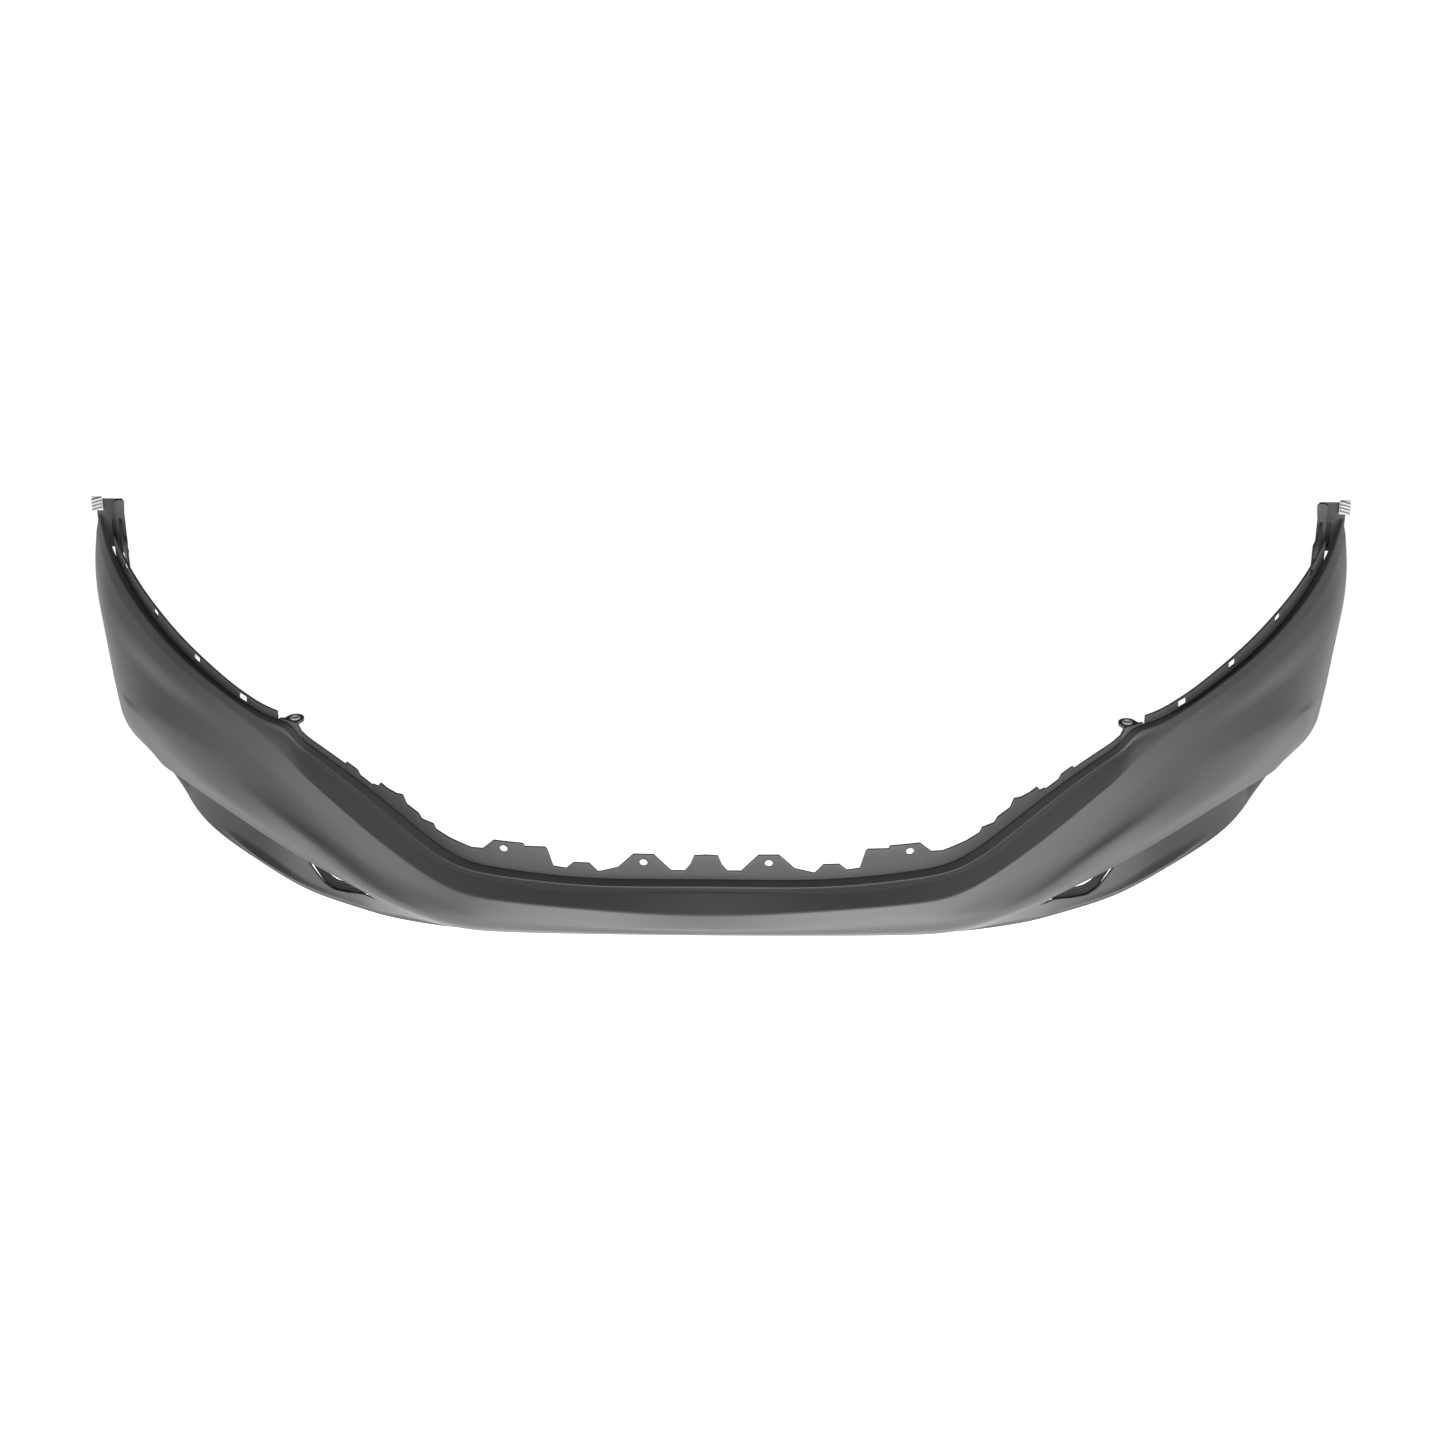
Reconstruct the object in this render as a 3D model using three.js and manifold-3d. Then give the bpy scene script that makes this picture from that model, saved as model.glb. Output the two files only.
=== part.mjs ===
// Front upper bumper cover for a compact crossover: a moulded skin with separate grille and
// headlamp rails, corner flanges, screw lugs, end brackets, fender clips and fog lamp bezels.
// Millimetres, +Z up, +X to the left of the car, nose towards -Y. The lower edge rests on Z = 0.
import * as THREE from 'three';
import { mergeVertices } from 'three/addons/utils/BufferGeometryUtils.js';
import Module from 'manifold-3d';

const wasm = await Module();
wasm.setup();

// Driving dimensions.
const WALL = 3; // moulded skin thickness
const RAIL_WALL = 2.6; // rail and bracket thickness
const FIT_GAP = 0.6; // gap between fitted pieces
const LEDGE_CENTRE = 16; // depth of the ledge behind the lip at the middle
const LEDGE_WING = 10; // the same along the headlamps
const HEM = 12; // turned-down edge that the rails are fastened to
const UNDERCUT = 8; // step behind the sharp lower crease
const WING_UNDERCUT = 30; // how much deeper it is under the wings
const ROUND_HOLE = 10; // holes in the grille rail tabs
const SLOT_LENGTH = 16;
const SLOT_HEIGHT = 10;
const LUG_HOLE = 14.8;
const LUG_WALL = 4;
const LUG_TOP = 4; // height of the ear above the ledge
const LUG_EYE = 12; // distance of its hole behind the hem
const LUG_EAR = 11.5; // half width and end radius of the ear
const LUG_SHOULDER = 18.2; // half width of the lug at its root
const COLLAR_BORE = 8;
const RIVET_SHANK = 4;
const RIVET_HOLE = 5;
const RIVET_HEAD = 9;
const STEPS = 3; // facets along the skin between two stations
const LUG_STATION = 6.25; // where the screw lugs stand
const SADDLE = 11; // lift of the lip under them, steep towards the nose
const CHANNEL = 26; // distance of the end brackets' inner wall from the lip
const NOTCH_X = 240; // drain notches under the nose
const LAST = 11; // the stations run from 0 at the middle to 11 at the wheel arch

// Feature lines of the right half, one [x, y, z] for each station, y counted from the nose.
const LIP = [
  [0, 42, 88], [141, 45, 86], [256, 58, 92], [331, 78, 102], [405, 120, 140], [475, 165, 176],
  [538, 205, 203], [604, 250, 226], [686, 325, 248], [767, 425, 269], [841, 540, 304], [879, 627, 348],
];
const BAND = [
  [0, 9, 66], [141, 13, 71], [256, 25, 76], [329, 46, 83], [407, 85, 118], [464, 122, 147],
  [526, 168, 179], [601, 236, 208], [693, 317, 239], [776, 420, 259], [851, 538, 295], [890, 632, 346],
];
const WEDGE = [
  [0, 3, 55], [141, 7, 56], [252, 18, 60], [328, 39, 66], [403, 78, 83], [458, 116, 107],
  [530, 168, 141], [612, 233, 177], [700, 309, 203], [785, 412, 208], [850, 505, 225], [886, 595, 240],
];
const ROLL_TOP = [
  [0, 0, 49], [141, 4, 48], [253, 15, 49], [329, 33, 53], [405, 73, 68], [470, 120, 91],
  [545, 168, 121], [618, 225, 149], [703, 290, 166], [780, 375, 165], [830, 463, 149], [859, 533, 133],
];
const BULGE = [
  [0, 0, 44], [141, 5, 42], [253, 15, 41], [330, 32, 42], [408, 66, 56], [470, 106, 79],
  [541, 151, 108], [620, 218, 124], [706, 290, 142], [788, 384, 150], [826, 451, 139], [846, 510, 90],
];
const ROLL_LOW = [
  [0, 6, 38], [141, 11, 36], [253, 20, 34], [330, 36, 34], [410, 70, 46], [468, 106, 61],
  [543, 160, 81], [618, 217, 98], [704, 297, 111], [785, 395, 120], [817, 447, 105], [830, 497, 66],
];
const CREASE = [
  [0, 14, 33], [141, 18, 31], [253, 27, 28], [330, 42, 28], [414, 82, 38], [461, 114, 43],
  [533, 169, 50], [606, 233, 58], [690, 318, 63], [754, 400, 54], [778, 436, 48], [796, 474, 42],
];
const FOOT = [
  [0, 86, 0], [141, 80, 0], [253, 77, 0], [330, 84, 0], [408, 106, 0], [456, 130, 0],
  [529, 173, 0], [600, 240, 0], [685, 333, 0], [730, 404, 0], [745, 432, 2], [757, 452, 6],
];
// Height of the rails above the ledge at each station.
const RAIL_RISE = [0, 0, 0, 0, 9, 9, 9, 12, 18, 24, 26, 24];

const v = (x, y, z) => new THREE.Vector3(x, y, z);
const UP = v(0, 0, 1);
const smooth = THREE.MathUtils.smoothstep;

// A mirrored smooth curve through a feature line, read by station number from -LAST to LAST.
function line(points) {
  const right = points.map((p) => v(...p));
  const left = right.slice(1).reverse().map((p) => v(-p.x, p.y, p.z));
  const curve = new THREE.CatmullRomCurve3([...left, ...right], false, 'catmullrom', 0.5);
  return (t) => curve.getPoint((t + LAST) / (2 * LAST));
}

const lipLine = line(LIP);
const band = line(BAND);
const wedge = line(WEDGE);
const rollTop = line(ROLL_TOP);
const bulge = line(BULGE);
const rollLow = line(ROLL_LOW);
const crease = line(CREASE);
const foot = line(FOOT);
const rise = line(RAIL_RISE.map((h, i) => [i, 0, h]));

// The lip lifts a little under the screw lugs.
const saddle = (t) => {
  const past = Math.abs(t) - LUG_STATION;
  return SADDLE * Math.exp(-((past / (past < 0 ? 0.25 : 0.4)) ** 2));
};
const lip = (t) => lipLine(t).add(v(0, 0, saddle(t)));

// Level direction square to a line, pointing to the inside of the bumper.
function inboard(curve, t) {
  const a = curve(Math.max(t - 0.05, -LAST));
  const b = curve(Math.min(t + 0.05, LAST));
  return b.sub(a).setZ(0).normalize().cross(UP).negate();
}

const ledgeWidth = (t) => {
  const a = Math.abs(t);
  return LEDGE_CENTRE + (LEDGE_WING - LEDGE_CENTRE) * smooth(a, 3, 7) - 5 * smooth(a, 10, 11);
};
const ledgeLift = (t) => 2 - 6 * smooth(Math.abs(t), 6.6, 7.6);
const ledge = (t) => lip(t).addScaledVector(inboard(lip, t), ledgeWidth(t)).add(v(0, 0, ledgeLift(t)));
const hem = (t) => ledge(t).add(v(0, 0, -HEM));

// Outside of the skin at a station, from the hem over the lip and down to the foot.
function profile(t) {
  const a = Math.abs(t);
  const inward = inboard(lip, t);
  const top = lip(t);
  const wing = smooth(a, 5.8, 7.5);
  const crown = top.clone().lerp(wedge(t), 0.2).addScaledVector(inward, -3);
  const edge = band(t).lerp(crown, wing);
  const groove = 1 - smooth(a, 5.5, 7);
  const step = top.clone().addScaledVector(inward, 2.5).add(v(0, 0, -4));
  const sill = top.clone().addScaledVector(inward, -5).add(v(0, 0, -6));
  const g1 = top.clone().lerp(edge, 0.33).lerp(step, groove);
  const g2 = top.clone().lerp(edge, 0.66).lerp(sill, groove);
  const low = foot(t);
  const wide = smooth(a, 5.9, 7.4) * (1 - smooth(a, 9.8, 11));
  const under = UNDERCUT * smooth(a, 4, 5) + WING_UNDERCUT * wide;
  const tuck = crease(t).addScaledVector(inboard(crease, t), under).add(v(0, 0, -2));
  const roll = new THREE.CatmullRomCurve3([wedge(t), rollTop(t), bulge(t), rollLow(t), crease(t)]);
  const belly = edge.clone().lerp(wedge(t), 0.5).addScaledVector(inward, -3 * smooth(a, 7, 9));
  const points = [hem(t), ledge(t), top, g1, g2, edge, belly, ...roll.getPoints(8)];
  const flat = crease(t).lerp(low, 0.15);
  points.push(flat.lerp(tuck, smooth(a, 4, 5)), low);
  return points;
}

// Turns rows of closed loops into one closed body, with capped ends.
function loft(rows) {
  const n = rows[0].length;
  const half = n / 2;
  const positions = rows.flat().flatMap((p) => [p.x, p.y, p.z]);
  const index = [];
  for (let i = 0; i + 1 < rows.length; i++) {
    for (let j = 0; j < n; j++) {
      const a = i * n + j;
      const b = i * n + ((j + 1) % n);
      index.push(a, b, b + n, a, b + n, a + n);
    }
  }
  const last = (rows.length - 1) * n;
  for (let j = 0; j + 1 < half; j++) {
    const k = n - 1 - j;
    index.push(j, k, k - 1, j, k - 1, j + 1);
    index.push(last + j, last + k - 1, last + k, last + j, last + j + 1, last + k - 1);
  }
  const geometry = new THREE.BufferGeometry();
  geometry.setAttribute('position', new THREE.Float32BufferAttribute(positions, 3));
  geometry.setIndex(index);
  return facingOut(geometry);
}

// Signed volume of a closed body, used to keep its faces pointing out.
function facingOut(geometry) {
  const p = geometry.attributes.position;
  const index = geometry.index.array;
  let volume = 0;
  for (let i = 0; i < index.length; i += 3) {
    const [a, b, c] = [0, 1, 2].map((k) => new THREE.Vector3().fromBufferAttribute(p, index[i + k]));
    volume += a.dot(b.cross(c));
  }
  if (volume < 0) {
    for (let i = 0; i < index.length; i += 3) {
      [index[i + 1], index[i + 2]] = [index[i + 2], index[i + 1]];
    }
  }
  return geometry;
}

function solid(geometry) {
  const bare = geometry.clone();
  bare.deleteAttribute('normal');
  bare.deleteAttribute('uv');
  const merged = mergeVertices(bare, 1e-4);
  const vertProperties = new Float32Array(merged.attributes.position.array);
  const triVerts = new Uint32Array(merged.index.array);
  return new wasm.Manifold(new wasm.Mesh({ numProp: 3, vertProperties, triVerts }));
}

function cut(body, ...tools) {
  return tools.reduce((left, tool) => left.subtract(solid(tool)), body);
}

function toGeometry(body) {
  const mesh = body.getMesh();
  const geometry = new THREE.BufferGeometry();
  geometry.setAttribute('position', new THREE.Float32BufferAttribute(mesh.vertProperties, 3));
  geometry.setIndex(Array.from(mesh.triVerts));
  return geometry;
}

const stations = (from, to, step) => {
  const count = Math.max(1, Math.round((to - from) / step));
  return Array.from({ length: count + 1 }, (_, i) => from + ((to - from) * i) / count);
};

// Offsets a grid of outside points to the inside by a thickness, mitred at the corners.
function offsetGrid(grid, thickness) {
  return grid.map((row, i) => row.map((point, j) => {
    const before = grid[Math.max(i - 1, 0)][j];
    const after = grid[Math.min(i + 1, grid.length - 1)][j];
    const along = after.clone().sub(before).normalize();
    const face = (a, b) => row[b].clone().sub(row[a]).cross(along).normalize();
    const first = face(Math.max(j - 1, 0), Math.max(j, 1));
    const second = face(Math.min(j, row.length - 2), Math.min(j + 1, row.length - 1));
    const miter = first.clone().add(second).multiplyScalar(1 / (1 + Math.max(first.dot(second), -0.2)));
    return point.clone().addScaledVector(miter, -thickness);
  }));
}

// A bolt-like frame: local +Z points along the given direction.
function placed(geometry, position, direction) {
  const turn = new THREE.Quaternion().setFromUnitVectors(UP, direction.clone().normalize());
  return geometry.clone().applyQuaternion(turn).translate(position.x, position.y, position.z);
}

const bore = (diameter, length, sides = 16) =>
  new THREE.CylinderGeometry(diameter / 2, diameter / 2, length, sides).rotateX(Math.PI / 2);

// Headed pin with its shank along -Z and its head resting on Z = 0.
function rivetGeometry(head, shank, length) {
  const r = head / 2;
  const s = shank / 2;
  const outline = [[0, -length], [s, -length], [s, 0], [r, 0], [r * 0.9, 1.2], [r * 0.5, 1.9], [0, 2]];
  return new THREE.LatheGeometry(outline.map(([x, y]) => new THREE.Vector2(x, y)), 10).rotateX(Math.PI / 2);
}

const paint = (color, roughness, metalness = 0) => ({ color, roughness, metalness });
const PRIMER = paint(0x55565a, 0.45);
const RAW_PLASTIC = paint(0x3a3b3e, 0.62);
const CLIP_PLASTIC = paint(0xb4b5b8, 0.5);
const BEZEL_PLASTIC = paint(0x2a2b2d, 0.7);
const PIN_PLASTIC = paint(0x1f2022, 0.55);

const cover = new THREE.Group();
const bumper = new THREE.Group();
cover.add(bumper);

function add(name, geometry, look) {
  const mesh = new THREE.Mesh(geometry, new THREE.MeshStandardMaterial(look));
  mesh.name = name;
  bumper.add(mesh);
  return mesh;
}

// Both hands of a piece: the callback gets the side name and its sign.
const bothSides = (make) => [['left', 1], ['right', -1]].forEach(([side, sign]) => make(side, sign));

// A wall standing just behind the hem, from its foot up to a height above the ledge.
function standingWall(from, to, step, height) {
  const rows = stations(from, to, step).map((t) => {
    const inward = inboard(lip, t);
    const face = ledge(t).addScaledVector(inward, FIT_GAP);
    const top = height(t);
    const low = face.clone().setZ(ledge(t).z - HEM);
    const front = [low, low.clone().setZ((low.z + top) / 2), low.clone().setZ(top)];
    const back = front.map((p) => p.clone().addScaledVector(inward, RAIL_WALL));
    return [...front, ...back.reverse()];
  });
  return solid(loft(rows));
}

// Where a rivet goes through the hem, and the way its head faces.
const pinSpot = (t, drop = 7) => {
  const inward = inboard(lip, t);
  const point = ledge(t).addScaledVector(inward, FIT_GAP + RAIL_WALL).add(v(0, 0, -drop));
  return { point, inward };
};
const GRILLE_PINS = [0.55, 1.9, 3.4];
const FLANGE_PINS = [4.75, 5.6];
const LAMP_PINS = [7.4, 8.6, 9.7];
const allPins = [...GRILLE_PINS, ...FLANGE_PINS, ...LAMP_PINS];

function pinHoles(list, sign) {
  return list.map((t) => {
    const { point, inward } = pinSpot(t * sign);
    return placed(bore(RIVET_HOLE, 24, 12), point, inward);
  });
}

// Fog lamp opening and the smaller hole of its bezel, seen square to the wall, x along the wall, z up.
const FOG_FROM = 4.25;
const FOG_TO = 6.15;
const FOG_OUTLINE = [
  [-74, 35], [-45, 30], [-10, 20], [16, 16], [34, 21],
  [64, 44], [60, 46.5], [20, 43], [-20, 40], [-50, 37],
];
const BEZEL_HOLE = [
  [-20, 37], [-14, 32], [4, 27.5], [18, 26.5], [30, 29],
  [52, 41.5], [52, 44.5], [22, 42.5], [0, 41], [-12, 39.5],
];

function fogFrame(sign) {
  const a = crease(FOG_FROM * sign);
  const b = crease(FOG_TO * sign);
  const along = b.clone().sub(a).setZ(0).normalize();
  const middle = a.lerp(b, 0.5).setZ(0);
  return { along, middle, inward: inboard(crease, 5.2 * sign) };
}

function fogPrism(sign, grow, reach, points = FOG_OUTLINE) {
  const { along, middle, inward } = fogFrame(sign);
  const centre = [0, 31];
  const shape = new THREE.Shape(points.map(([x, z]) => {
    const dx = x - centre[0];
    const dz = z - centre[1];
    const wider = grow / Math.hypot(dx, dz);
    return new THREE.Vector2(centre[0] + dx * (1 + wider), centre[1] + dz * (1 + 1.2 * wider));
  }));
  const prism = new THREE.ExtrudeGeometry(shape, { depth: 2 * reach, bevelEnabled: false });
  const side = along.clone();
  const basis = new THREE.Matrix4().makeBasis(side, UP, side.clone().cross(UP));
  basis.setPosition(middle.clone().addScaledVector(side.clone().cross(UP), -reach));
  return prism.applyMatrix4(basis);
}

// Skin.
{
  const grid = stations(-LAST, LAST, 1 / STEPS).map(profile);
  const inner = offsetGrid(grid, WALL);
  const rows = grid.map((row, i) => {
    const inside = inner[i];
    inside[3] = inside[2].clone().lerp(inside[5], 0.33);
    inside[4] = inside[2].clone().lerp(inside[5], 0.66);
    return [...row, ...inside.reverse()];
  });
  let skin = solid(loft(rows));
  bothSides((side, sign) => {
    const notch = new THREE.BoxGeometry(16, 10, 14).translate(NOTCH_X * sign, 32, 24);
    skin = cut(skin, fogPrism(sign, 0, 60), notch, ...pinHoles(allPins, sign));
  });
  add('cover_skin', toGeometry(skin), PRIMER);
}

// Grille rail: a wall with a tabbed top edge and four round holes.
{
  const edge = [
    [0, 124], [15, 123], [20, 110], [27, 101], [44, 101], [66, 124], [92, 124], [112, 104], [137, 97],
    [148, 109], [168, 109], [178, 100], [194, 102], [201, 126], [204, 129], [230, 128], [232, 132],
    [270, 133], [285, 119], [300, 118], [330, 126], [347, 133], [350, 140], [366, 142], [370, 149],
    [386, 157], [391, 169], [400, 168], [412, 171], [421, 176], [425, 170], [434, 171],
  ];
  const right = edge.map(([x, z]) => new THREE.Vector2(x, z));
  const left = edge.slice(1).reverse().map(([x, z]) => new THREE.Vector2(-x, z));
  const outline = new THREE.Shape([...left, ...right, new THREE.Vector2(434, 0), new THREE.Vector2(-434, 0)]);
  const prism = new THREE.ExtrudeGeometry(outline, { depth: 400, bevelEnabled: false });
  prism.rotateX(Math.PI / 2).translate(0, 400, 0);
  let rail = standingWall(-4.5, 4.5, 0.25, () => 200).intersect(solid(prism));
  bothSides((side, sign) => {
    const holes = [[79, 112], [257, 122]].map(([x, z]) => bore(ROUND_HOLE, 400, 20).rotateX(Math.PI / 2)
      .translate(x * sign, 0, z));
    rail = cut(rail, ...holes, ...pinHoles(GRILLE_PINS, sign));
  });
  add('grille_rail', toGeometry(rail), RAW_PLASTIC);
}

bothSides((side, sign) => {
  const range = (from, to) => (sign > 0 ? [from, to] : [-to, -from]);

  // Corner flange between the grille rail and the screw lug, with one small tab.
  const tab = (t) => 5 * smooth(Math.abs(t), 4.74, 4.8) * (1 - smooth(Math.abs(t), 5, 5.06));
  const flange = standingWall(...range(4.515, 5.98), 0.12, (t) => ledge(t).z + 8 + tab(t));
  add(`corner_flange_${side}`, toGeometry(cut(flange, ...pinHoles(FLANGE_PINS, sign))), RAW_PLASTIC);

  // Screw lug: a plate against the hem with a level, rounded ear, and a light sleeve in the ear's hole.
  const inward = inboard(lip, LUG_STATION * sign);
  const base = ledge(LUG_STATION * sign).addScaledVector(inward, FIT_GAP);
  const hold = new THREE.Matrix4().makeBasis(v(inward.y, -inward.x, 0), inward, UP).setPosition(base);
  const plate = [[-LUG_SHOULDER, -26], [-8, -14], [LUG_SHOULDER, -10], [LUG_SHOULDER, 3], [LUG_EAR, LUG_TOP],
    [-LUG_EAR, LUG_TOP], [-LUG_SHOULDER, -7]];
  const ear = [[LUG_EAR, 0]];
  for (const turn of stations(0, Math.PI, 0.26)) {
    ear.push([LUG_EAR * Math.cos(turn), LUG_EYE + LUG_EAR * Math.sin(turn)]);
  }
  ear.push([-LUG_EAR, 0]);
  const slab = (points, depth) => {
    const shape = new THREE.Shape(points.map(([x, y]) => new THREE.Vector2(x * sign, y)));
    return new THREE.ExtrudeGeometry(shape, { depth, bevelEnabled: false });
  };
  const lugPlate = slab(plate, LUG_WALL).rotateX(Math.PI / 2).translate(0, LUG_WALL, 0);
  const lugEar = slab(ear, LUG_WALL).translate(0, 0, LUG_TOP - LUG_WALL);
  const lug = solid(lugPlate.applyMatrix4(hold)).add(solid(lugEar.applyMatrix4(hold)));
  const eye = base.clone().addScaledVector(inward, LUG_EYE).add(v(0, 0, LUG_TOP - LUG_WALL / 2));
  add(`screw_lug_${side}`, toGeometry(cut(lug, placed(bore(LUG_HOLE, 20, 20), eye, UP))), PRIMER);
  const sleeve = [[COLLAR_BORE / 2, -3.2], [LUG_HOLE / 2 - FIT_GAP, -3.2], [LUG_HOLE / 2 - FIT_GAP, 3.2],
    [COLLAR_BORE / 2, 3.2], [COLLAR_BORE / 2, -3.2]].map(([x, y]) => new THREE.Vector2(x, y));
  const collar = new THREE.LatheGeometry(sleeve, 20).rotateX(Math.PI / 2);
  add(`lug_collar_${side}`, placed(collar, eye, UP), CLIP_PLASTIC);

  // Headlamp rail: a wall with four slots.
  const railTop = (t) => ledge(t).z + rise(t).z;
  const slots = [7.25, 8.15, 9.05, 9.85].map((t) => {
    const spot = ledge(t * sign);
    const square = inboard(lip, t * sign);
    const box = new THREE.BoxGeometry(SLOT_LENGTH, SLOT_HEIGHT, 20);
    const level = v(square.y, -square.x, 0);
    const climb = ledge((t + 0.1) * sign).sub(ledge((t - 0.1) * sign)).normalize();
    box.rotateZ(Math.asin(climb.z) * Math.sign(climb.dot(level)));
    box.applyMatrix4(new THREE.Matrix4().makeBasis(level, UP, level.clone().cross(UP)));
    return box.translate(spot.x, spot.y, railTop(t * sign) - 8);
  });
  const wall = standingWall(...range(6.52, 10.3), 0.2, railTop);
  const lampRail = cut(wall, ...slots, ...pinHoles(LAMP_PINS, sign));
  add(`headlamp_rail_${side}`, toGeometry(lampRail), RAW_PLASTIC);

  // End bracket: a channel behind the end of the lip, with a wavy front flange and a blind slot.
  const innerRows = stations(...range(10.36, 11), 0.08).map((t) => {
    const square = inboard(lip, t);
    const face = lip(t).addScaledVector(square, CHANNEL);
    const low = lip(t).z - 36;
    const near = [face.clone().setZ(low), face.clone().setZ(lip(t).z - 15), face.clone().setZ(lip(t).z + 4)];
    const far = near.map((p) => p.clone().addScaledVector(square, RAIL_WALL));
    return [...near, ...far.reverse()];
  });
  const end = lip(LAST * sign);
  const block = (x, y, z, dx, dy, dz) =>
    new THREE.BoxGeometry(x, y, z).translate(end.x - dx * sign, end.y + dy, end.z + dz);
  const wavy = [[22.6, -56], [37, -61], [33.5, -34], [33.5, -10], [36.5, 4], [38, 22], [30, 23], [22.6, 20]];
  const flangeShape = new THREE.Shape(wavy.map(([x, z]) => new THREE.Vector2(-x * sign, z)));
  const flangeBody = new THREE.ExtrudeGeometry(flangeShape, { depth: RAIL_WALL, bevelEnabled: false })
    .rotateX(Math.PI / 2).translate(end.x, end.y + 2, end.z);
  let bracket = solid(loft(innerRows)).add(solid(flangeBody));
  const crossWall = block(38, 3, 73, 15, 8.5, -15.5);
  const sideWall = block(RAIL_WALL, 10, 74, 24, 4.5, -17);
  const slotBack = block(11, 6, 43, 18, 12.5, -27);
  for (const piece of [crossWall, sideWall, slotBack]) bracket = bracket.add(solid(piece));
  add(`end_bracket_${side}`, toGeometry(cut(bracket, block(6, 8, 37, 18, 9, -27))), RAW_PLASTIC);

  // Fender clip: a small comb with four sloping ribs on the end of the skin.
  let clip = solid(new THREE.BoxGeometry(15, 2.4, 20).translate(0, 3.2, 10));
  for (const z of [2.4, 7.4, 12.4, 17.4]) {
    const rib = new THREE.BoxGeometry(14.4, 8.4, 1.8).rotateY(0.3 * sign).translate(0, -0.8, z + 1.2);
    clip = clip.add(solid(rib));
  }
  const clipMesh = add(`fender_clip_${side}`, toGeometry(clip), CLIP_PLASTIC);
  clipMesh.position.set(end.x + sign, end.y, end.z + 6);

  // Fog lamp bezel: a frame that follows the inside of the wall around the opening.
  const wallGrid = stations(...range(4, 6.66), 1 / STEPS).map((t) => profile(t).slice(-2));
  const layer = (depth) => offsetGrid(wallGrid, depth);
  const outer = layer(WALL + 3);
  const inner = layer(WALL + 5.8);
  const bezelRows = outer.map((row, i) => [...row, ...inner[i].slice().reverse()]);
  const bezel = solid(loft(bezelRows)).intersect(solid(fogPrism(sign, 5, 60)));
  add(`fog_bezel_${side}`, toGeometry(cut(bezel, fogPrism(sign, 0, 60, BEZEL_HOLE))), BEZEL_PLASTIC);

  // Rivets through the hem.
  allPins.forEach((t, i) => {
    const { point, inward: out } = pinSpot(t * sign);
    const pin = rivetGeometry(RIVET_HEAD, RIVET_SHANK, RAIL_WALL + WALL + FIT_GAP + 1.5);
    add(`rivet_${side}_${i + 1}`, placed(pin, point.addScaledVector(out, FIT_GAP), out), PIN_PLASTIC);
  });
});

// The origin is at the middle of the bounding box, on the floor.
const box = new THREE.Box3().setFromObject(bumper, true);
bumper.position.set(0, -(box.min.y + box.max.y) / 2, -box.min.z);

export default cover;
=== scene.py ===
# Looks for the front upper bumper cover. Lengths in the tables are millimetres; Blender works in metres.
import math

import bmesh
import bpy
import numpy as np
from mathutils import Matrix, Vector


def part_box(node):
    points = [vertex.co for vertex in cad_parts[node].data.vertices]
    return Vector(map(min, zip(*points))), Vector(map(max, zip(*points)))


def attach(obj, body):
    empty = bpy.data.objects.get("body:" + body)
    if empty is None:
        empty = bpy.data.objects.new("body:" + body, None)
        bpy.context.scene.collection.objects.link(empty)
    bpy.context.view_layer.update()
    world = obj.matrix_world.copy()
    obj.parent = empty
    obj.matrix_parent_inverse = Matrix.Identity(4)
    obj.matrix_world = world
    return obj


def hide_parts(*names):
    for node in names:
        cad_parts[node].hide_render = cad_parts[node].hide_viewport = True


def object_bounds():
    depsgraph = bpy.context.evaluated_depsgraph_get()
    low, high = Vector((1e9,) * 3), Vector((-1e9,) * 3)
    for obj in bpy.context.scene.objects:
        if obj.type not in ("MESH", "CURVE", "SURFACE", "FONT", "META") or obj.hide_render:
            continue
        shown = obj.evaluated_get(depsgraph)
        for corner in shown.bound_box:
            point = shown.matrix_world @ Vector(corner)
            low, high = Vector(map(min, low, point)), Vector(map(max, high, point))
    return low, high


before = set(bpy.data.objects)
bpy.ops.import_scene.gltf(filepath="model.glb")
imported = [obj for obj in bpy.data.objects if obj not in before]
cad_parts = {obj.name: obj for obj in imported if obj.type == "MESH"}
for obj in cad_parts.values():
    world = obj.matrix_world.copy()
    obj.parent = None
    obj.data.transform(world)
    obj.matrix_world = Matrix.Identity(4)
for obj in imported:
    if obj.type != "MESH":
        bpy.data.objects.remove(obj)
CAD_BOX = [[float(c) for c in corner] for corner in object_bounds()]
SKIN_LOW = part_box("cover_skin")[0]
MM = 0.001
NOSE_Y = SKIN_LOW[1] / MM + 0.3  # the tables count y from the nose, which smoothing moves out by 0.3
BASE_Z = 1.26  # height of the tables' zero above the floor
WALL = 3.0  # of the skin
RAIL_WALL = 2.6
GAP = 0.6  # between the hem and the rails behind it
HEM = 12.0  # height of the turned-down hem
LAST = 11  # station at the wheel arch
STEPS = 12  # rows of the skin for each station
LUG_STATION = 6.25
SADDLE = 11.0  # lift of the lip under the lugs
LEDGE_WIDTH = 16.0  # in the middle
LEDGE_NARROWING = 6.0  # of the ledge towards the lugs
TIP_NARROWING = 5.0  # and again towards the tip
LEDGE_RISE = 2.0  # of the ledge's inner edge above the lip
WING_DROP = 6.0  # of that edge behind the headlamp
STEP_IN, STEP_DOWN = 2.5, 4.0  # first corner of the groove, from the lip
SILL_OUT, SILL_DOWN = 5.0, 6.0  # its second corner
BRIM_HEIGHT, BRIM_OUT = 7.0, 3.0  # top of the bead along the lower edge
UNDER_HEIGHT, UNDER_OUT = 4.5, 0.5  # its lower side
UNDERCUT = 8.0  # how far the recessed wall starts behind the crease
WING_UNDERCUT = 30.0  # and how much further below the wing
NECK = 13.0  # height of the neck above the foot
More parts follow.
